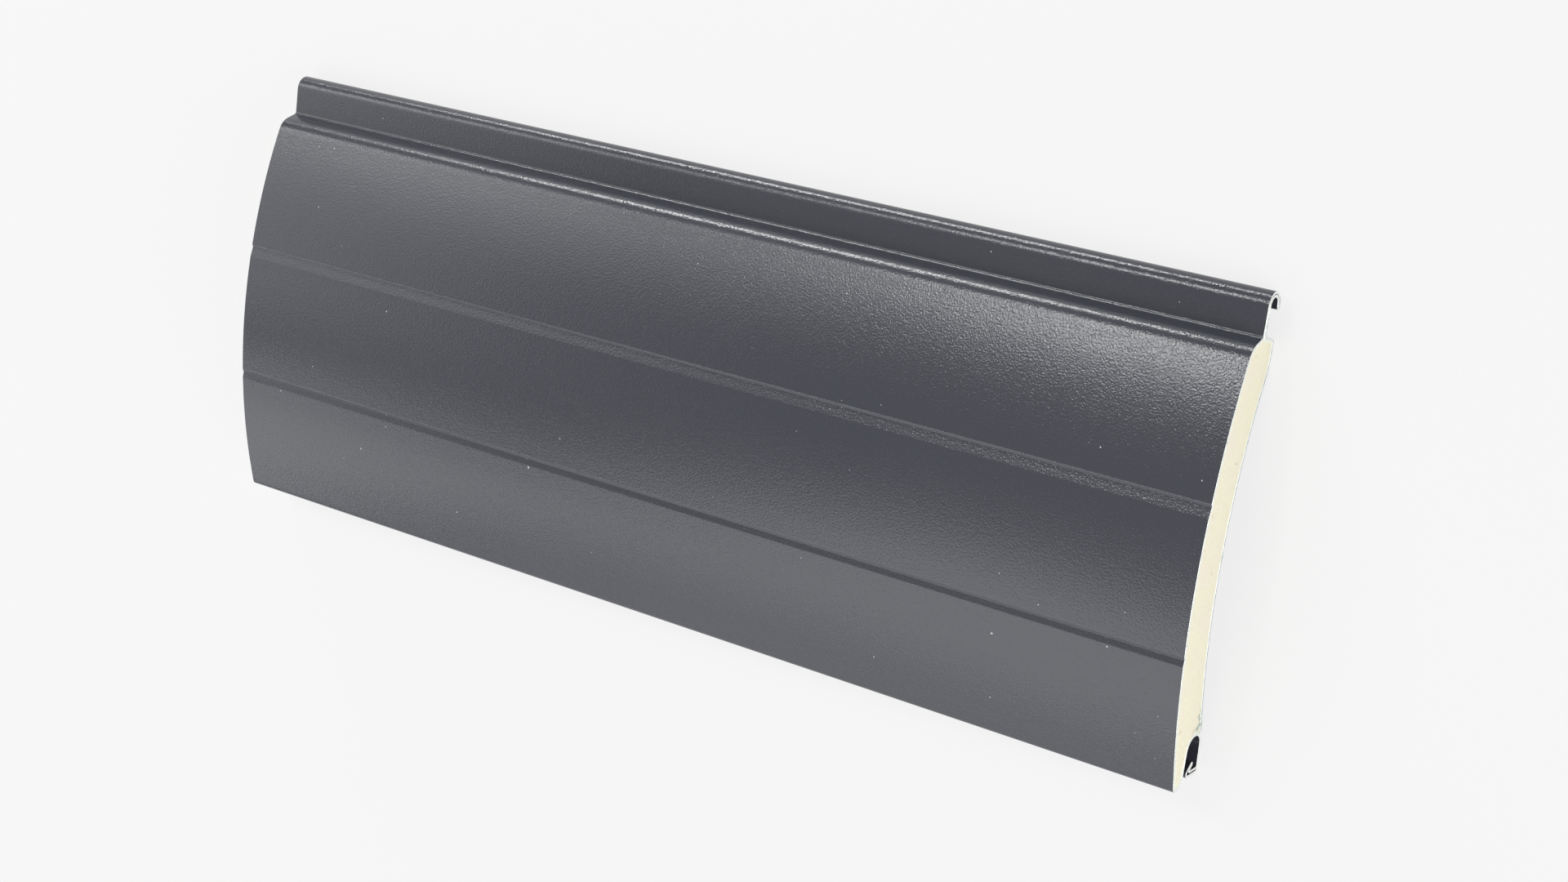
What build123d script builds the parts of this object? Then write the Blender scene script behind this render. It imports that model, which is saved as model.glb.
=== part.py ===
from build123d import *
import math
import os

# Roller door slat, lying on its hollow back with the painted, bulged face up.
# X runs along the slat, Y across it toward the hook, Z up from the floor.
# The section is drawn in (Y, Z) as the middle line of one long strip of sheet.
# Y starts at the outer face of the socket's lip, and the hook side is placed from the neck's root.

# Strip of sheet, and the cut length
SHEET = 0.45
HEM_GAP = 0.10
LENGTH = 207.0

# From the lip's outer face to the neck's root
BODY_WIDTH = 75.1

# Hook and neck, with the widest round of the hook just clear of the floor
HOOK_REACH = 7.5
HOOK_BEND = 2.35
HOOK_LIFT = 0.3
HOOK_TURN = 165.0
HOOK_LIP = 0.9
NECK_BEND = 0.6
NECK_STUB = 0.05

# Shoulder between the neck and the crown
SHOULDER_BACK = 3.4
SHOULDER_RISE = 4.545
SHOULDER_RUN = 2.2
SHOULDER_BEND = 3.5

# Closing wall and foot under the shoulder
CLOSING_BACK = 0.1
CLOSING_BEND = 0.4
FOOT_BACK = 0.8
FOOT_BEND = 0.7

# Bulged front face
CROWN_RADIUS = 112.0
CROWN_BACK = 1.7
CROWN_RISE = 2.475

# Two shallow rolled lines, placed by the outer bands that they leave
NOSE_BAND = 24.4
SHOULDER_BAND = 24.8
GROOVE_WALL = 0.45
GROOVE_BEND = 0.25
GROOVE_LEAD = 0.4
NOSE_GROOVE_DEPTH = 0.26
NOSE_GROOVE_RAMP = 1.2
SHOULDER_GROOVE_DEPTH = 0.32
SHOULDER_GROOVE_RAMP = 2.0

# Hollow back face
HOLLOW_RADIUS = 94.0
HOLLOW_BACK = 6.9
HOLLOW_RISE = 0.485

# Nose over the socket's mouth
NOSE_RUN = 2.9
NOSE_BEND = 1.1
NOSE_BACK_OUT = 1.0
NOSE_STEP = 1.2
NOSE_BACK_BEND = 0.8
LINER_BACK = 0.8
LINER_BEND = 0.8

# Socket, which takes the hook of the next slat with a little play
SOCKET_DEPTH = 7.3
SOCKET_PLAY = 0.1
SOCKET_SLOPE = 6.5
ARCH_FLAT = 0.15
SEAM_GAP = 0.10
SEAM_ANGLE = -40.3

# Lip of the socket, with its flange doubled back
LIP_HEIGHT = 4.8
LIP_BEND = 0.7
LIP_TIP_BEND = 0.9
LIP_GAP = 0.25
LIP_EDGE_GAP = 0.25
FLANGE_DROP = 50.0
FLANGE_LENGTH = 1.5
FLANGE_BEND = 0.075

HALF = SHEET / 2
FOLD = HEM_GAP + SHEET


def polar(center, radius, angle):
    """The point at an angle round a center, counted from +Y toward +Z."""
    turn = math.radians(angle)
    return (center[0] + radius * math.cos(turn), center[1] + radius * math.sin(turn))


def angle_at(center, point):
    """The angle of a point round a center."""
    return math.degrees(math.atan2(point[1] - center[1], point[0] - center[0]))


def center_under(first, last, radius):
    """The center, below, of the circle through two points."""
    half_chord = math.dist(first, last) / 2
    middle = ((first[0] + last[0]) / 2, (first[1] + last[1]) / 2)
    return polar(middle, math.sqrt(radius**2 - half_chord**2), angle_at(first, last) - 90)


def on_top(center, radius, y):
    """The upper point of a circle at one Y."""
    return (y, center[1] + math.sqrt(radius**2 - (y - center[0]) ** 2))


def along(center, point, distance):
    """A point on the tangent of a circle at one of its points, toward +Y."""
    return polar(point, distance, angle_at(center, point) - 90)


def arc_round(center, start, end):
    """The arc round a center from one point to another."""
    first = angle_at(center, start)
    return CenterArc(center, math.dist(center, start), first, angle_at(center, end) - first)


def rolled_line(center, radius, y, depth, ramp):
    """One line rolled into a curved face: a gentle ramp down, then a short steep wall up."""
    start = on_top(center, radius, y - ramp - GROOVE_LEAD)
    bottom = on_top(center, radius - depth, y)
    end = on_top(center, radius, y + GROOVE_WALL + GROOVE_LEAD)
    ramp_top = along(center, start, GROOVE_LEAD)
    wall_top = along(center, end, -GROOVE_LEAD)
    return FilletPolyline(start, ramp_top, bottom, wall_top, end, radius=GROOVE_BEND + HALF)


# Lip: from the free edge in the socket, over into the doubled flange, and down outside
slope = math.radians(SOCKET_SLOPE)
lip_y = HALF
lip_inner_y = lip_y + SHEET + LIP_GAP
lip_foot_bend = LIP_BEND - HALF
lip_foot = (lip_y, LIP_BEND - lip_foot_bend * (1 + math.sin(slope)) / math.cos(slope))
lip_edge_z = lip_foot[1] + (lip_inner_y - lip_y) * math.tan(slope) + HALF + LIP_EDGE_GAP

down = -FLANGE_DROP
outward = down + 90
tip_bend = LIP_TIP_BEND - HALF
tip_center = (LIP_TIP_BEND, LIP_HEIGHT - LIP_TIP_BEND)
tip_end = polar(tip_center, tip_bend, outward)
flange_front = polar(tip_end, FLANGE_LENGTH, down)
flange_back = polar(flange_front, -FOLD, outward)
flange_hem = polar(flange_front, -FOLD / 2, outward)

# The small inner bend touches the flange's back layer and the lip's inner layer
inner_bend = FLANGE_BEND + HALF
inner_center_y = lip_inner_y + inner_bend
inner_reach = flange_back[0] - inner_bend * math.cos(math.radians(outward)) - inner_center_y
inner_end = polar(flange_back, -inner_reach / math.cos(math.radians(down)), down)
inner_center = polar(inner_end, -inner_bend, outward)
lip = [
    Line((lip_inner_y, lip_edge_z), (lip_inner_y, inner_center[1])),
    CenterArc(inner_center, inner_bend, 180, outward - 180),
    Line(inner_end, flange_back),
    CenterArc(flange_hem, FOLD / 2, outward + 180, 180),
    Line(flange_front, tip_end),
    CenterArc(tip_center, tip_bend, outward, 180 - outward),
]

# Socket floor and the lower half of the arch behind it
arch_y = lip_y + SOCKET_DEPTH
socket_height = 2 * HOOK_BEND + SOCKET_PLAY
arch_inner = (socket_height - ARCH_FLAT) / 2
arch_bend = arch_inner + HALF
arch_foot = (arch_y, lip_foot[1] + SOCKET_DEPTH * math.tan(slope))
arch_center = (arch_y - arch_bend, arch_foot[1] + arch_bend * (1 - math.sin(slope)) / math.cos(slope))
liner_z = arch_foot[1] + socket_height + SHEET
arch_side = (arch_y, (arch_center[1] + liner_z - arch_bend) / 2)
socket_floor = FilletPolyline(
    (lip_y, tip_center[1]), lip_foot, arch_foot, arch_side, radius=[lip_foot_bend, arch_bend]
)

# Crown: one large round from nose to shoulder, over the neck at the height of the hook
neck_z = 2 * HOOK_BEND + HOOK_LIFT - HALF
nose_back_z = liner_z + NOSE_STEP
crown_start = (CROWN_BACK, nose_back_z + CROWN_RISE)
crown_end = (BODY_WIDTH - SHOULDER_BACK, neck_z + SHOULDER_RISE)
crown_mid = CROWN_RADIUS - HALF
crown_center = center_under(crown_start, crown_end, crown_mid)
nose_top = along(crown_center, crown_start, -NOSE_RUN)
shoulder_top = along(crown_center, crown_end, SHOULDER_RUN)

# Two rolled lines, and the bands of crown between them
nose_line_y = nose_top[0] + NOSE_BAND
shoulder_line_y = shoulder_top[0] - SHOULDER_BAND
rolled_lines = [
    rolled_line(crown_center, crown_mid, nose_line_y, NOSE_GROOVE_DEPTH, NOSE_GROOVE_RAMP),
    rolled_line(crown_center, crown_mid, shoulder_line_y, SHOULDER_GROOVE_DEPTH, SHOULDER_GROOVE_RAMP),
]
band_starts = [crown_start] + [tuple(line @ 1)[:2] for line in rolled_lines]
band_ends = [tuple(line @ 0)[:2] for line in rolled_lines] + [crown_end]
bands = [arc_round(crown_center, start, end) for start, end in zip(band_starts, band_ends)]

# Liner over the socket, from the arch out to the nose and round it
liner = FilletPolyline(
    arch_side,
    (arch_y, liner_z),
    (LINER_BACK, liner_z),
    (-NOSE_BACK_OUT, nose_back_z),
    nose_top,
    crown_start,
    radius=[arch_bend, LINER_BEND + HALF, NOSE_BACK_BEND, NOSE_BEND - HALF],
)

# Shoulder, down to the neck
neck_root = (BODY_WIDTH, neck_z)
neck_turn = math.radians(-angle_at(shoulder_top, neck_root))
neck_y = BODY_WIDTH + (NECK_BEND + HALF) * math.tan(neck_turn / 2) + NECK_STUB
shoulder = FilletPolyline(
    crown_end,
    shoulder_top,
    neck_root,
    (neck_y, neck_z),
    radius=[SHOULDER_BEND - HALF, NECK_BEND + HALF],
)

# Hook: out along the neck, round, folded back on itself, and home again inside
hook_center = (BODY_WIDTH + HOOK_REACH - HOOK_BEND, HOOK_BEND + HOOK_LIFT)
hook_bend = HOOK_BEND - HALF
hook_angle = 90 - HOOK_TURN
hook_end = polar(hook_center, hook_bend, hook_angle)
hook_tip = polar(hook_end, HOOK_LIP, hook_angle - 90)
hook_hem = polar(hook_tip, -FOLD / 2, hook_angle)
hook = [
    Line((neck_y, neck_z), (hook_center[0], neck_z)),
    CenterArc(hook_center, hook_bend, 90, -HOOK_TURN),
    Line(hook_end, hook_tip),
    CenterArc(hook_hem, FOLD / 2, hook_angle, -180),
    Line(polar(hook_tip, -FOLD, hook_angle), polar(hook_end, -FOLD, hook_angle)),
    CenterArc(hook_center, hook_bend - FOLD, hook_angle, HOOK_TURN),
    Line((hook_center[0], neck_z - FOLD), (neck_y, neck_z - FOLD)),
]

# Hollow: its inner face starts over the foot, and ends a seam gap away from the arch
inside = HOLLOW_RADIUS + SHEET
hollow_mid = HOLLOW_RADIUS + HALF
foot_corner = (BODY_WIDTH - HOLLOW_BACK, SHEET + HOLLOW_RISE)
seam_corner = polar(arch_center, arch_inner + SHEET + SEAM_GAP, SEAM_ANGLE)
hollow_center = center_under(seam_corner, foot_corner, inside)
hollow_start = polar(hollow_center, hollow_mid, angle_at(hollow_center, foot_corner))
hollow_end = polar(hollow_center, hollow_mid, angle_at(hollow_center, seam_corner))
hollow = arc_round(hollow_center, hollow_start, hollow_end)

# Foot: flat on the floor, and blended into the hollow
fall = 90 - angle_at(hollow_center, hollow_start)
blend_run = (hollow_start[1] - HALF) / math.sin(math.radians(fall))
blend = blend_run / math.tan(math.radians(fall) / 2)
blend_center = (along(hollow_center, hollow_start, blend_run)[0] + blend_run, HALF + blend)
closing = FilletPolyline(
    (neck_y, neck_z - FOLD),
    (BODY_WIDTH - CLOSING_BACK, neck_z - FOLD),
    (BODY_WIDTH - FOOT_BACK, HALF),
    (blend_center[0], HALF),
    radius=[CLOSING_BEND + HALF, FOOT_BEND - HALF],
)
foot_blend = CenterArc(blend_center, blend, -90, -fall)

# Skin: the whole strip at its thickness
crown = [liner, *bands, *rolled_lines, shoulder]
back = [closing, foot_blend, hollow]
strip = trace([*lip, socket_floor, *crown, *hook, *back], line_width=SHEET)

# Foam: all that the closed part of the strip holds
mouth = Line((neck_y, neck_z), (neck_y, neck_z - FOLD))
seam = Polyline(hollow_end, arch_center, arch_side)
rim = [edge for run in (*crown, mouth, *back, seam) for edge in run.edges()]
filling = (make_face(rim) - strip).faces().sort_by(SortBy.AREA)[-1]

# The origin is on the floor, under the middle of the width and length
section = Plane.YZ * Pos(-strip.bounding_box().center().X, 0)
nodes = {"skin": section * strip, "foam_core": section * filling}

os.makedirs("parts", exist_ok=True)
for name, face in nodes.items():
    export_step(extrude(face, amount=LENGTH / 2, both=True), f"parts/{name}.step")
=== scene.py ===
# %% [markdown]
# A roller door slat, cut to a short length and laid on its hollow back.
# It is one long strip of thin painted aluminium, rolled into a closed profile and filled with foam.
# The cut ends show the whole section: a bare metal line all round and pale foam inside it.
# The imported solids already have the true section, so this lesson reads the section from them
# and spends its effort on what a solid can't show: paint, grain, cut metal, foam and dust.

import math

import bpy
import numpy as np
from mathutils import Euler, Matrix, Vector
from mathutils.geometry import delaunay_2d_cdt


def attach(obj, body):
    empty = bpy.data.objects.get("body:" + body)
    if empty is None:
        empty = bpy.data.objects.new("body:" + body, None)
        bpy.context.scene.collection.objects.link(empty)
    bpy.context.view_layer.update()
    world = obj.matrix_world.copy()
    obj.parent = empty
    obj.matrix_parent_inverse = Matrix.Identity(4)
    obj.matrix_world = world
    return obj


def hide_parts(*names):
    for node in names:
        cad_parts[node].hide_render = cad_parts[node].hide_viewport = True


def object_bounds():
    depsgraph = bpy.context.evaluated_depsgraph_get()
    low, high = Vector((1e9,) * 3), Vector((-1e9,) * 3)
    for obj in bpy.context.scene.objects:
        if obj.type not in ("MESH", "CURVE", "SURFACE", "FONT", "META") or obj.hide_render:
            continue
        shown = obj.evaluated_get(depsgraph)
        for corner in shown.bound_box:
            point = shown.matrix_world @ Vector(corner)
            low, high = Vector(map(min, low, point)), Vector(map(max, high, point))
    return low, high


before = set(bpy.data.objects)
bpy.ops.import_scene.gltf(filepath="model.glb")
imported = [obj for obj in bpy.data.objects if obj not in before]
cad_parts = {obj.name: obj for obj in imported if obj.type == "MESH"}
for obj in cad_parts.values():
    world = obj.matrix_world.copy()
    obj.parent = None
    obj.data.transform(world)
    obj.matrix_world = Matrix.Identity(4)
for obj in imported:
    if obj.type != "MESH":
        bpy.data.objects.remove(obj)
cad_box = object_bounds()
MM = 0.001
HALF_LENGTH = cad_box[1].x
print("nodes:", sorted(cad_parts), "length in mm:", round(2 * HALF_LENGTH / MM, 2))

# %% [markdown]
# The strip and the foam are the same section all the way along, as anything rolled or extruded is.
# A section could be drawn again with curves, but then it would be a second drawing of the same thing.
# Here the outline is read from the solid's own cut end instead, with the exact normals that the
# solid carries there, and each run between two points is rounded to follow those normals.
# A wide arc that came as a few flat facets so becomes a true arc again, and sharp corners stay sharp.

# %% Read the outline of a cut end
LONGEST_RUN = 1.0 * MM
LARGEST_TURN = math.radians(9)
MICRON = 1e-6
MICRON_DIGITS = 6
FACES_THE_END = 0.5


def end_runs(node):
    """The runs round one node's cut end, in order, each as start, start normal, end and end normal.

    They are read from the faces along the slat, whose normals at the end are those of the round itself.
    """
    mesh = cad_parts[node].data
    place = [v.co for v in mesh.vertices]
    normal = [n.vector.copy() for n in mesh.corner_normals]
    runs = {}
    for face in mesh.polygons:
        if abs(face.normal.x) > FACES_THE_END:
            continue
        loops = list(face.loop_indices)
        for a, b in zip(loops, loops[1:] + loops[:1]):
            p, q = place[mesh.loops[a].vertex_index], place[mesh.loops[b].vertex_index]
            if min(p.x, q.x) > HALF_LENGTH - MICRON:
                key = (round(p.y, MICRON_DIGITS), round(p.z, MICRON_DIGITS))
                runs[key] = [np.array(v.yz, float) for v in (p, normal[a], q, normal[b])]
    key = next(iter(runs))
    ordered = []
    while key in runs:
        ordered.append(runs.pop(key))
        key = tuple(round(float(c), MICRON_DIGITS) for c in ordered[-1][2])
    return ordered


def unit(v):
    return v / np.linalg.norm(v)


def rounded(run):
    """Points along one run, without its end, on the smooth curve that its two normals ask for.

    The pull at both ends is the one that lets a cubic curve lie on a round arc.
    """
    start, normal_start, end, normal_end = run
    chord = end - start
    length = np.linalg.norm(chord)
    tangents = []
    for n in (normal_start, normal_end):
        t = unit(np.array([-n[1], n[0]]))
        tangents.append(t if t @ chord > 0 else -t)
    turn = math.acos(min(1.0, float(tangents[0] @ tangents[1])))
    steps = max(1, math.ceil(length / LONGEST_RUN), math.ceil(turn / LARGEST_TURN))
    pull = length / math.cos(turn / 4) ** 2
    s = np.arange(steps)[:, None] / steps
    return (
        (2 * s**3 - 3 * s**2 + 1) * start
        + (s**3 - 2 * s**2 + s) * pull * tangents[0]
        + (3 * s**2 - 2 * s**3) * end
        + (s**3 - s**2) * pull * tangents[1]
    )


def outline(node):
    """All points round one cut end, in millimetres, anticlockwise as the end is looked at."""
    points = np.vstack([rounded(run) for run in end_runs(node)]) / MM
    after = np.roll(points, -1, axis=0)
    area = np.sum(points[:, 0] * after[:, 1] - points[:, 1] * after[:, 0]) / 2
    print(node, "outline points:", len(points), "cut face in square mm:", round(abs(area), 1))
    return points if area > 0 else points[::-1]


strip_outline = outline("skin")
foam_outline = outline("foam_core")

# %% [markdown]
# A mesh of a long rolled part is rings of the same outline, one behind the other.
# The last ring is set in by a hair, which gives the saw's edge a small chamfer that catches light.
# The cut face itself is split into triangles by Blender's own Delaunay routine, which also takes
# extra points inside the outline, so that the same helper serves a plain face and a fine net.

# %% Helpers for meshes
CHAMFER = 0.04
SHARP_FROM = math.radians(32)
SAME_POINT = 1e-6


def outward(steps):
    """The unit normals of the steps round an anticlockwise outline, pointing away from the material."""
    return np.stack([steps[:, 1], -steps[:, 0]], 1) / np.linalg.norm(steps, axis=1)[:, None]


def set_in(points, distance):
    """The outline moved into its own material by one distance, with corners kept."""
    before = outward(points - np.roll(points, 1, axis=0))
    after = outward(np.roll(points, -1, axis=0) - points)
    miter = (before + after) / (1 + np.sum(before * after, axis=1))[:, None]
    return points - miter * distance


def triangles_inside(points, extra=()):
    """The triangles that fill an outline, with the numbers of its points and of any extra ones."""
    count = len(points)
    every = [Vector(p) for p in [*points, *extra]]
    loop = [(i, (i + 1) % count) for i in range(count)]
    placed, _, triangles = delaunay_2d_cdt(every, loop, [], 1, SAME_POINT)[:3]
    if len(placed) != len(every):
        print("the outline gained or lost points:", len(every), "to", len(placed))
    return triangles


def facing(triangles, first, forward):
    """The same triangles counted from a first point, seen from the front or turned round."""
    return [tuple(first + i for i in (t if forward else t[::-1])) for t in triangles]


def sweep(points, ends):
    """Rings of an outline at places along the length, and the faces between them."""
    count = len(points)
    rings = [np.column_stack([np.full(count, x), p]) for x, p in ends]
    faces = []
    for ring in range(len(rings) - 1):
        for i in range(count):
            j = (i + 1) % count
            a, b = ring * count, (ring + 1) * count
            faces.append((a + i, a + j, b + j, b + i))
    return np.vstack(rings), faces


def make_piece(name, points, faces, slots, materials):
    """A mesh object in metres from points in millimetres, riding on the slat."""
    mesh = bpy.data.meshes.new(name)
    mesh.from_pydata((np.asarray(points) * MM).tolist(), [], faces)
    for material in materials:
        mesh.materials.append(material)
    mesh.polygons.foreach_set("material_index", slots)
    mesh.polygons.foreach_set("use_smooth", [True] * len(faces))
    mesh.set_sharp_from_angle(angle=SHARP_FROM)
    piece = bpy.data.objects.new(name, mesh)
    bpy.context.scene.collection.objects.link(piece)
    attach(piece, "root")
    return piece


print("chamfer in mm:", CHAMFER, "sharp edges from degrees:", round(math.degrees(SHARP_FROM)))

# %% [markdown]
# Shader node groups keep an effect in one place. Each group below takes a few numbers and puts out
# a height, a mask or a value, and the materials decide what to do with it.
# A small helper class places nodes and joins them, so that the recipes stay short.

# %% Helpers for shader nodes
class Recipe:
    """Adds nodes to one tree and links them."""

    def __init__(self, tree):
        self.tree = tree

    def add(self, kind, settings=(), **inputs):
        node = self.tree.nodes.new(kind)
        for key, value in dict(settings).items():
            setattr(node, key, value)
        for key, value in inputs.items():
            socket = node.inputs[int(key[1:])] if key[1:].isdigit() else node.inputs[key.replace("_", " ")]
            if isinstance(value, bpy.types.NodeSocket):
                self.tree.links.new(value, socket)
            else:
                socket.default_value = value
        return node

    def math(self, operation, a, b=0.0, c=0.0):
        node = self.add("ShaderNodeMath", {"operation": operation}, i0=a, i1=b, i2=c)
        return node.outputs[0]

    def range(self, value, low, high, to_low=0.0, to_high=1.0, smooth=True):
        kind = {"interpolation_type": "SMOOTHSTEP" if smooth else "LINEAR"}
        node = self.add("ShaderNodeMapRange", kind, i0=value, i1=low, i2=high, i3=to_low, i4=to_high)
        return node.outputs[0]

    def noise(self, place, scale, detail=2.0, roughness=0.5, distortion=0.0):
        node = self.add(
            "ShaderNodeTexNoise",
            Vector=place, Scale=scale, Detail=detail, Roughness=roughness, Distortion=distortion,
        )
        return node.outputs[0]

    def mix(self, mask, a, b):
        node = self.add("ShaderNodeMix", {"data_type": "RGBA"}, i0=mask, i6=a, i7=b)
        return node.outputs[2]

    def group(self, tree, **inputs):
        return self.add("ShaderNodeGroup", {"node_tree": tree}, **inputs).outputs


def new_group(name, inputs, outputs):
    """An empty node group with named inputs and outputs, and its recipe."""
    tree = bpy.data.node_groups.new(name, "ShaderNodeTree")
    for label, kind, value in inputs:
        socket = tree.interface.new_socket(label, in_out="INPUT", socket_type=kind)
        if value is not None:
            socket.default_value = value
    for label, kind in outputs:
        tree.interface.new_socket(label, in_out="OUTPUT", socket_type=kind)
    recipe = Recipe(tree)
    entry = tree.nodes.new("NodeGroupInput").outputs
    result = tree.nodes.new("NodeGroupOutput").inputs
    return tree, recipe, entry, result


def new_material(name):
    """A material with one Principled shader, its recipe, the shader and the place on the slat."""
    material = bpy.data.materials.new(name)
    material.use_nodes = True
    recipe = Recipe(material.node_tree)
    shader = material.node_tree.nodes["Principled BSDF"]
    place = recipe.add("ShaderNodeTexCoord").outputs["Object"]
    return material, recipe, shader, place


def tell(owner, tree):
    """Prints how many nodes a group or a material has."""
    print(owner.name, "has", len(tree.nodes), "nodes and", len(tree.links), "links")


# %% [markdown]
# Coil coating on such strips is embossed with a fine leathery grain, about half a millimetre from hill to
# hill and only a hundredth of a millimetre high. It could be modelled, but that would take millions of
# triangles for something that only bends highlights, so it is a height for a bump node.

# %% Node group: fine grain
GRAIN_PER_METRE = 3000.0
PATCH_SCALE = 0.006

grain, g, entry, result = new_group(
    "fine_grain",
    [("Place", "NodeSocketVector", None), ("Per metre", "NodeSocketFloat", GRAIN_PER_METRE)],
    [("Height", "NodeSocketFloat"), ("Patches", "NodeSocketFloat")],
)
height = g.noise(entry["Place"], entry["Per metre"], detail=1.0, roughness=0.4, distortion=0.35)
patches = g.noise(entry["Place"], g.math("MULTIPLY", entry["Per metre"], PATCH_SCALE), detail=1.0)
g.tree.links.new(height, result["Height"])
g.tree.links.new(patches, result["Patches"])
tell(grain, grain)

# %% [markdown]
# Dust and lint show on dark paint as rare pale points. Cells of a flat Voronoi texture give each point
# a place of its own, and a random value per cell leaves most of the cells empty.

# %% Node group: scattered specks
SMALLEST_SPECK = 0.3

specks, g, entry, result = new_group(
    "scattered_specks",
    [
        ("Place", "NodeSocketVector", None),
        ("Per metre", "NodeSocketFloat", 200.0),
        ("Share", "NodeSocketFloat", 0.05),
        ("Size", "NodeSocketFloat", 0.1),
    ],
    [("Mask", "NodeSocketFloat")],
)
flat = {"feature": "F1", "voronoi_dimensions": "2D"}
cells = g.add("ShaderNodeTexVoronoi", flat, Vector=entry["Place"], Scale=entry["Per metre"])
chance = g.add("ShaderNodeSeparateColor", Color=cells.outputs["Color"]).outputs
size = g.math("MULTIPLY", entry["Size"], g.math("ADD", chance[1], SMALLEST_SPECK))
inside = g.math("LESS_THAN", cells.outputs["Distance"], size)
chosen = g.math("LESS_THAN", chance[0], entry["Share"])
g.tree.links.new(g.math("MULTIPLY", inside, chosen), result["Mask"])
tell(specks, specks)

# %% [markdown]
# The paint is a dark grey coil coating with a soft gloss. Its colour is nearly even: what makes it look
# real is the grain, a slight cloudiness, and the dust. An image of real paint could be laid over it, but
# a recipe has no seams and can be changed by one number. The clear specks of the photograph are listed
# by their place along and across the slat and their radius, all in millimetres.

# %% Material: painted strip
PAINT_COLOR = (0.054, 0.058, 0.072, 1)
PAINT_CLOUD = (0.056, 0.060, 0.074, 1)
DUST_COLOR = (0.62, 0.63, 0.64, 1)
PAINT_ROUGHNESS = (0.20, 0.22)
PAINT_IOR = 1.5
CLOUD_EDGES = (0.35, 0.7)
GRAIN_DEPTH = 0.042 * MM
DUST_PER_METRE = 260.0
DUST_SHARE = 0.03
DUST_SIZE = 0.022
DUST_PLACES = [
    (-30, -19, 0.20),
    (69, -23, 0.18),
    (83, 13, 0.13),
    (90, -19, 0.14),
    (-72, -26, 0.14),
    (-67, 3, 0.12),
    (-48, -33, 0.12),
    (-93, -19, 0.12),
    (101, 12, 0.11),
]

paint, r, shader, place = new_material("paint")
relief = r.group(grain, Place=place)
cloud = r.range(relief["Patches"], *CLOUD_EDGES)
scattered = r.group(specks, Place=place, Per_metre=DUST_PER_METRE, Share=DUST_SHARE, Size=DUST_SIZE)
dust = scattered["Mask"]
axes = r.add("ShaderNodeSeparateXYZ", Vector=place).outputs
for x, y, radius in DUST_PLACES:
    aside = r.math("MULTIPLY_ADD", axes["X"], 1 / MM, -x)
    across = r.math("MULTIPLY_ADD", axes["Y"], 1 / MM, -y)
    off = r.math("SQRT", r.math("MULTIPLY_ADD", aside, aside, r.math("MULTIPLY", across, across)))
    dust = r.math("MAXIMUM", dust, r.math("LESS_THAN", off, radius))
bump = r.add("ShaderNodeBump", Strength=1.0, Distance=GRAIN_DEPTH, Height=relief["Height"])
color = r.mix(dust, r.mix(cloud, PAINT_COLOR, PAINT_CLOUD), DUST_COLOR)
r.tree.links.new(color, shader.inputs["Base Color"])
r.tree.links.new(r.range(cloud, 0, 1, *PAINT_ROUGHNESS), shader.inputs["Roughness"])
r.tree.links.new(bump.outputs[0], shader.inputs["Normal"])
shader.inputs["IOR"].default_value = PAINT_IOR
tell(paint, r.tree)

# %% [markdown]
# A saw leaves aluminium bright, with fine marks on the cut. The metal is so thin here that it reads as
# a pale line round the section. On the hollow back the saw smeared it: there the line is greyer, with
# small blue-green nicks, so a value kept on the mesh tells the material which part of the line that is.

# %% Material: cut metal
METAL_SMEARED = (0.80, 0.82, 0.75, 1)
METAL_SILVER = (0.84, 0.86, 0.86, 1)
METAL_GREY = (0.42, 0.49, 0.49, 1)
NICK_COLOR = (0.12, 0.20, 0.22, 1)
METAL_ROUGHNESS = (0.38, 0.55)
METAL_SHARE = 0.5
MARKS_PER_METRE = 5000.0
MARK_DEPTH = 0.01 * MM
RAGGED_PER_METRE = 900.0
RAGGED_REACH = 1.2
GREY_EDGES = (0.1, 0.4)
NICK_EDGES = (0.56, 0.64)

cut_metal, r, shader, place = new_material("cut_metal")
marks = r.noise(place, MARKS_PER_METRE, detail=2.0)
ragged = r.noise(place, RAGGED_PER_METRE, detail=2.0, roughness=0.6)
underside = r.add("ShaderNodeAttribute", {"attribute_name": "underside"}).outputs["Fac"]
color = r.mix(r.range(marks, 0.4, 0.6), METAL_SMEARED, METAL_SILVER)
shifted = r.math("MULTIPLY_ADD", ragged, RAGGED_REACH, -RAGGED_REACH / 2)
greyed = r.range(r.math("ADD", underside, shifted), *GREY_EDGES)
color = r.mix(greyed, color, METAL_GREY)
color = r.mix(r.math("MULTIPLY", underside, r.range(ragged, *NICK_EDGES)), color, NICK_COLOR)
bump = r.add("ShaderNodeBump", Strength=0.6, Distance=MARK_DEPTH, Height=marks)
r.tree.links.new(color, shader.inputs["Base Color"])
r.tree.links.new(r.range(marks, 0.3, 0.7, *METAL_ROUGHNESS), shader.inputs["Roughness"])
r.tree.links.new(bump.outputs[0], shader.inputs["Normal"])
shader.inputs["Metallic"].default_value = METAL_SHARE
tell(cut_metal, r.tree)

# %% [markdown]
# The strip is one sheet 0.45 mm thick that closes round the foam. It could be a flat sheet with a
# solidify modifier, bent in steps, but the outline of the cut end already has both of its faces. So the
# mesh is that outline carried along the length, with a chamfered, bare ring and cap at each end.
# The stations between the ends only keep the long faces from becoming needles.

# %% The painted strip
STATIONS = 24
SOCKET_END = -33.0
COUNTS_AS_BESIDE = 0.6
COUNTS_AS_BELOW = 0.25


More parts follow.
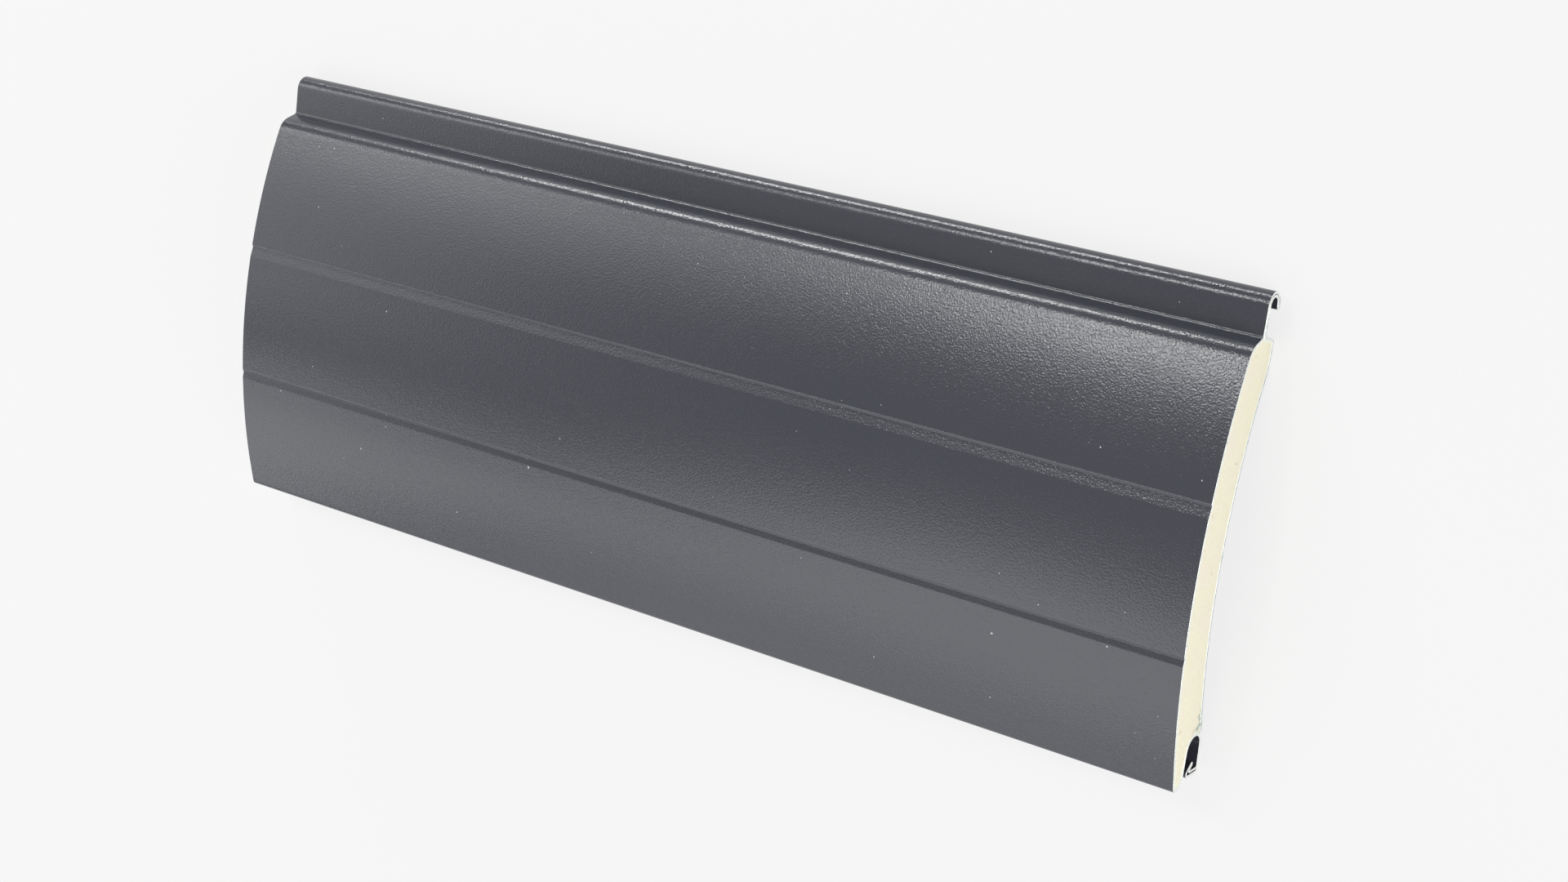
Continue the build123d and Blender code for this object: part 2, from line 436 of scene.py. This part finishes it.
def under_everything(points):
    """One for each point behind the socket with nothing of the strip below it, and zero for the others."""
    beside = np.abs(points[:, 0][:, None] - points[:, 0]) < COUNTS_AS_BESIDE
    lower = points[:, 1] < points[:, 1][:, None] - COUNTS_AS_BELOW
    covered = (beside & lower).any(axis=1)
    return np.where(covered | (points[:, 0] < SOCKET_END), 0.0, 1.0)


def build_strip():
    half = HALF_LENGTH / MM
    inner = set_in(strip_outline, CHAMFER)
    stations = np.linspace(-half + CHAMFER, half - CHAMFER, STATIONS)
    ends = [(-half, inner)] + [(x, strip_outline) for x in stations] + [(half, inner)]
    points, faces = sweep(strip_outline, ends)
    count = len(strip_outline)
    painted = [0 if count <= k < len(faces) - count else 1 for k in range(len(faces))]
    flat = triangles_inside(inner)
    caps = facing(flat, 0, False) + facing(flat, len(points) - count, True)
    slots = painted + [1] * len(caps)
    strip = make_piece("skin_strip", points, faces + caps, slots, [paint, cut_metal])
    mark = strip.data.attributes.new("underside", "FLOAT", "POINT")
    mark.data.foreach_set("value", list(under_everything(strip_outline)) * len(ends))
    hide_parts("skin")
    print("strip triangles:", 2 * len(faces) + len(caps))


build_strip()

# %% [markdown]
# Foam that has been sawn shows its cells: many fine pits, a few larger bubbles, and a denser, paler rim
# where it set against the metal. Just above the socket a patchy dark blue-green tint runs along its edge.
# A flat face with a bump could show the pits, but they would stay flat when seen from the side, so the cut
# faces are real relief, and the deeper pits are also coloured darker as painted shade. The mesh keeps three
# values at each point for this material: how deep the pit is there, how near the rim is and how near the
# tint is.

# %% Material: cut foam
FOAM_COLOR = (0.88, 0.84, 0.66, 1)
FOAM_RIM = (0.88, 0.91, 0.80, 1)
FOAM_PINK = (0.88, 0.82, 0.68, 1)
# The next colour is painted shade at the bottom of a deep pit, tan like the foam's few tan spots.
FOAM_PIT_SHADE = (0.60, 0.50, 0.36, 1)
# A dark blue-green tint, laid in patches along the foam's edge just above the socket.
FOAM_EDGE_TINT = (0.22, 0.34, 0.34, 1)
FOAM_ROUGHNESS = (0.8, 0.95)
FOAM_SHINE = 0.25
BLOTCHES_PER_METRE = 160.0
BLOTCH_EDGES = (0.45, 0.7)
CELLS_PER_METRE = 2600.0
CELL_DEPTH = 0.03 * MM
# How far the painted shade in the deepest pits goes towards that colour.
PIT_SHADE_STRENGTH = 0.6
TINT_PATCHES_PER_METRE = 750.0
TINT_PATCH_EDGES = (0.48, 0.62)

foam, r, shader, place = new_material("foam")
pit_shade = r.add("ShaderNodeAttribute", {"attribute_name": "pit_shade"}).outputs["Fac"]
rim = r.add("ShaderNodeAttribute", {"attribute_name": "rim"}).outputs["Fac"]
blotch = r.range(r.noise(place, BLOTCHES_PER_METRE, detail=3.0), *BLOTCH_EDGES)
fine = r.noise(place, CELLS_PER_METRE, detail=3.0, roughness=0.6)
color = r.mix(blotch, FOAM_COLOR, FOAM_PINK)
color = r.mix(rim, color, FOAM_RIM)
# Painted shade: each pit is coloured darker and more tan the deeper it is.
color = r.mix(r.math("MULTIPLY", pit_shade, PIT_SHADE_STRENGTH), color, FOAM_PIT_SHADE)
# The dark blue-green tint: patches of it near the foam's edge just above the socket.
edge_tint = r.add("ShaderNodeAttribute", {"attribute_name": "edge_tint"}).outputs["Fac"]
tint_patches = r.range(r.noise(place, TINT_PATCHES_PER_METRE, detail=3.0, roughness=0.65), *TINT_PATCH_EDGES)
color = r.mix(r.math("MULTIPLY", edge_tint, tint_patches), color, FOAM_EDGE_TINT)
bump = r.add("ShaderNodeBump", Strength=0.5, Distance=CELL_DEPTH, Height=fine)
r.tree.links.new(color, shader.inputs["Base Color"])
r.tree.links.new(r.range(fine, 0.3, 0.7, *FOAM_ROUGHNESS), shader.inputs["Roughness"])
r.tree.links.new(bump.outputs[0], shader.inputs["Normal"])
shader.inputs["Specular IOR Level"].default_value = FOAM_SHINE
tell(foam, r.tree)

# %% [markdown]
# Cells in foam have no order, so a net of points is laid over the cut face and every pit presses the
# points near it down, like a thumb in dough. Each kind of pit is given by how many are thrown at the box
# round the face, the smallest and largest radius in millimetres, and how deep it is for its radius.
# A sculpted face would take longer and couldn't be made again with another seed.

# %% A net of points with pits in it
EDGE_SHARE = 0.45
RIM_WIDTH = 0.5
PIT_KINDS = [
    (1600, 0.20, 0.34, 0.14),
    (14, 0.26, 0.42, 0.8),
]


def grid_inside(points, step):
    """A net of points inside an outline, kept clear of its edge, and each one's distance to the edge."""
    low, high = points.min(0), points.max(0)
    y, z = np.meshgrid(np.arange(low[0], high[0], step), np.arange(low[1], high[1], step))
    y = y + (np.arange(y.shape[0]) % 2)[:, None] * step / 2
    net = np.column_stack([y.ravel(), z.ravel()])
    a, b = points, np.roll(points, -1, axis=0)
    crossings = np.zeros(len(net), int)
    distance = np.full(len(net), np.inf)
    for p, q in zip(a, b):
        if p[1] != q[1]:
            spans = (net[:, 1] < max(p[1], q[1])) & (net[:, 1] >= min(p[1], q[1]))
            cross_y = p[0] + (net[:, 1] - p[1]) / (q[1] - p[1]) * (q[0] - p[0])
            crossings += spans & (cross_y > net[:, 0])
        d = q - p
        t = np.clip(((net - p) @ d) / (d @ d), 0, 1)
        distance = np.minimum(distance, np.linalg.norm(net - p - t[:, None] * d, axis=1))
    keep = (crossings % 2 == 1) & (distance > step * EDGE_SHARE)
    return net[keep], distance[keep]


def pits(net, distance, seed):
    """How deep the saw's cut is at each point of the net, as a depth in millimetres."""
    rng = np.random.default_rng(seed)
    depth = np.zeros(len(net))
    low, high = net.min(0), net.max(0)
    for count, smallest, largest, steepness in PIT_KINDS:
        for center, radius in zip(rng.uniform(low, high, (count, 2)), rng.uniform(smallest, largest, count)):
            off = np.linalg.norm(net - center, axis=1) / radius
            depth = np.maximum(depth, np.where(off < 1, radius * steepness * (1 - off**2), 0))
    return depth * np.clip(distance / RIM_WIDTH, 0, 1)


FOAM_STEP = 0.26
foam_net, foam_net_distance = grid_inside(foam_outline, FOAM_STEP)
print("points in the foam's net:", len(foam_net))

# %% [markdown]
# The core is two such faces with the same net, joined by walls that the strip hides. It could be a block
# with a displace modifier, but that would also move the walls. It ends a hair before the metal does,
# because foam tears under a saw while the strip is cut clean. From the depth PIT_FULL_SHADE on, a pit has
# its darkest painted shade.

# %% The foam core
FOAM_RECESS = 0.03
PIT_FULL_SHADE = 0.3
FIRST_SEED = 5
# Where the dark blue-green tint is centred across the section in millimetres, how far it reaches and how
# near the edge it stays.
TINT_MIDDLE = (-31.0, 2.8)
TINT_REACH = 3.2
TINT_STRENGTH = 1.5
TINT_BAND = 1.6


def nearness_to_tint(points, edge_distance):
    """One at the middle of the tint, fading to zero at its reach and away from the foam's edge."""
    reach = np.linalg.norm(points - TINT_MIDDLE, axis=1) / TINT_REACH
    fade = np.clip(TINT_STRENGTH - TINT_STRENGTH * reach, 0, 1)
    return fade * np.clip(TINT_BAND - edge_distance, 0, 1)


def build_foam():
    half = HALF_LENGTH / MM - FOAM_RECESS
    count = len(foam_outline)
    every = np.vstack([foam_outline, foam_net])
    edge_distance = np.concatenate([np.zeros(count), foam_net_distance])
    triangles = triangles_inside(foam_outline, foam_net)
    points, faces, pit_shade_values = [], [], []
    for side, x in enumerate((-half, half)):
        sign = math.copysign(1, x)
        depth = pits(foam_net, foam_net_distance, FIRST_SEED + side)
        faces += facing(triangles, len(points), sign > 0)
        points += [(x, y, z) for y, z in foam_outline]
        points += [(x - sign * d, y, z) for (y, z), d in zip(foam_net, depth)]
        # How deep each point of the net lies, which sets the painted shade of its pit.
        pit_shade_values += [0.0] * count + list(np.clip(depth / PIT_FULL_SHADE, 0, 1))
    for i in range(count):
        j = (i + 1) % count
        faces.append((i, j, len(every) + j, len(every) + i))
    core = make_piece("foam_filling", points, faces, [0] * len(faces), [foam])
    values = {
        "pit_shade": pit_shade_values,
        "rim": list(np.clip(1 - edge_distance / RIM_WIDTH, 0, 1)) * 2,
        "edge_tint": list(nearness_to_tint(every, edge_distance)) * 2,
    }
    for label, value in values.items():
        core.data.attributes.new(label, "FLOAT", "POINT").data.foreach_set("value", value)
    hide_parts("foam_core")
    print("foam triangles:", len(faces) + count)


build_foam()

# %% [markdown]
# The slat lies on a plain pale floor. More lamps could make the floor white, but they would also wash
# out the slat. Instead the floor is matte and pale for the light that falls on the slat, and mixed with a
# plain white for the rays that see or mirror it, so that a soft part of the shadow stays.

# %% Floor and backdrop
FLOOR_SIZE = 8.0
FLOOR_GLOW = 0.8
FLOOR_COLOR = (0.66, 0.66, 0.66, 1)


def shown_as_white(recipe):
    """One for the rays that see or mirror a backdrop, and zero for those that only light things."""
    rays = recipe.add("ShaderNodeLightPath").outputs
    seen = recipe.math("MAXIMUM", rays["Is Camera Ray"], rays["Is Glossy Ray"])
    return recipe.math("MAXIMUM", seen, rays["Is Transmission Ray"])


floor_mesh = bpy.data.meshes.new("floor")
edge = FLOOR_SIZE / 2
corners = [(-edge, -edge, 0), (edge, -edge, 0), (edge, edge, 0), (-edge, edge, 0)]
floor_mesh.from_pydata(corners, [], [(0, 1, 2, 3)])
floor = bpy.data.objects.new("floor", floor_mesh)
bpy.context.scene.collection.objects.link(floor)

floor_material = bpy.data.materials.new("floor")
floor_material.use_nodes = True
r = Recipe(floor_material.node_tree)
floor_material.node_tree.nodes.remove(floor_material.node_tree.nodes["Principled BSDF"])
white = shown_as_white(r)
matte = r.add("ShaderNodeBsdfDiffuse", Color=FLOOR_COLOR).outputs[0]
glow = r.add("ShaderNodeEmission", Color=(1, 1, 1, 1), Strength=1.0).outputs[0]
share = r.math("MULTIPLY", white, FLOOR_GLOW)
mixed = r.add("ShaderNodeMixShader", i0=share, i1=matte, i2=glow).outputs[0]
r.tree.links.new(mixed, floor_material.node_tree.nodes["Material Output"].inputs["Surface"])
floor_mesh.materials.append(floor_material)
print("floor edge in metres:", FLOOR_SIZE)

# %% [markdown]
# A studio's walls send a little light from all round. The world does that here with one plain strength,
# and is brighter where it is only seen or mirrored, so that the paint doesn't mirror a black room.

# %% Soft surroundings
SKY_LIGHT = 0.15
SKY_SEEN = 0.45

world = bpy.data.worlds.new("studio")
bpy.context.scene.world = world
world.use_nodes = True
r = Recipe(world.node_tree)
background = world.node_tree.nodes["Background"].inputs
r.tree.links.new(r.range(shown_as_white(r), 0, 1, SKY_LIGHT, SKY_SEEN, smooth=False), background["Strength"])
background["Color"].default_value = (1, 1, 1, 1)
print("strength of the surroundings, as light and as seen:", SKY_LIGHT, SKY_SEEN)

# %% [markdown]
# Soft boxes stand round the slat. Each is given by the direction it stands in, seen from the slat,
# how large it is and how bright it looks, because that is what a painted bend mirrors. The wide, dim ones
# give the flat bands their even tone, and the small, bright ones draw the lines on shoulder and hook.

# %% Lamps
LAMP_DISTANCE = 1.2


def softbox(name, toward, width, height, brightness):
    """A rectangular lamp facing the slat. Brightness is how it looks beside a white of 1."""
    light = bpy.data.lights.new(name, "AREA")
    light.shape = "RECTANGLE"
    light.size, light.size_y = width, height
    light.energy = brightness * math.pi * width * height
    lamp = bpy.data.objects.new(name, light)
    direction = Vector(toward).normalized()
    lamp.location = direction * LAMP_DISTANCE
    lamp.rotation_euler = direction.to_track_quat("Z", "Y").to_euler()
    bpy.context.scene.collection.objects.link(lamp)


BOXES = [
    ("back_right", (-0.30, 0.46, 0.84), 0.20, 0.26, 18.0),
    ("back_left", (-0.72, 0.42, 0.55), 0.22, 0.40, 5.6),
    ("back_wide", (-0.52, 0.42, 0.74), 0.60, 0.30, 1.6),
    ("back_low", (-0.44, 0.89, 0.12), 0.56, 0.08, 42.0),
    ("front_left", (-0.74, -0.50, 0.45), 0.40, 0.60, 1.8),
    ("front_right", (-0.30, -0.56, 0.77), 0.60, 0.55, 2.2),
    ("front_low", (-0.10, -0.90, 0.36), 1.50, 0.80, 0.9),
    ("far_left", (-0.80, 0.04, 0.60), 0.60, 0.50, 1.5),
    ("end_fill", (0.90, -0.25, 0.35), 0.80, 0.80, 5.0),
]
for name, toward, width, height, brightness in BOXES:
    softbox(name, toward, width, height, brightness)
print("lamps:", len(BOXES))

# %% [markdown]
# The camera stands where the photographer's did. It could be placed by eye, but its place was solved
# from the slat's own straight edges and parallel ends, and its lens from how much the far end shrinks.
# The place is in metres, the turn round X, Y and Z in degrees, and lens and sensor are in millimetres.

# %% Camera
CAMERA_PLACE = (0.23553, 0.10643, 0.36906)
CAMERA_TURN = (-10.0804, 32.3526, 8.4584)
CAMERA_LENS = 56.25
SENSOR_WIDTH = 36.0
NEAREST_SEEN = 0.01

camera_data = bpy.data.cameras.new("camera")
camera_data.lens = CAMERA_LENS
camera_data.sensor_width = SENSOR_WIDTH
camera_data.clip_start = NEAREST_SEEN
camera = bpy.data.objects.new("camera", camera_data)
camera.location = CAMERA_PLACE
camera.rotation_euler = Euler([math.radians(a) for a in CAMERA_TURN], "XYZ")
bpy.context.scene.collection.objects.link(camera)
bpy.context.scene.camera = camera
bpy.context.scene.view_settings.view_transform = "Standard"
print("camera is", round(camera.location.length, 3), "m from the slat's middle")
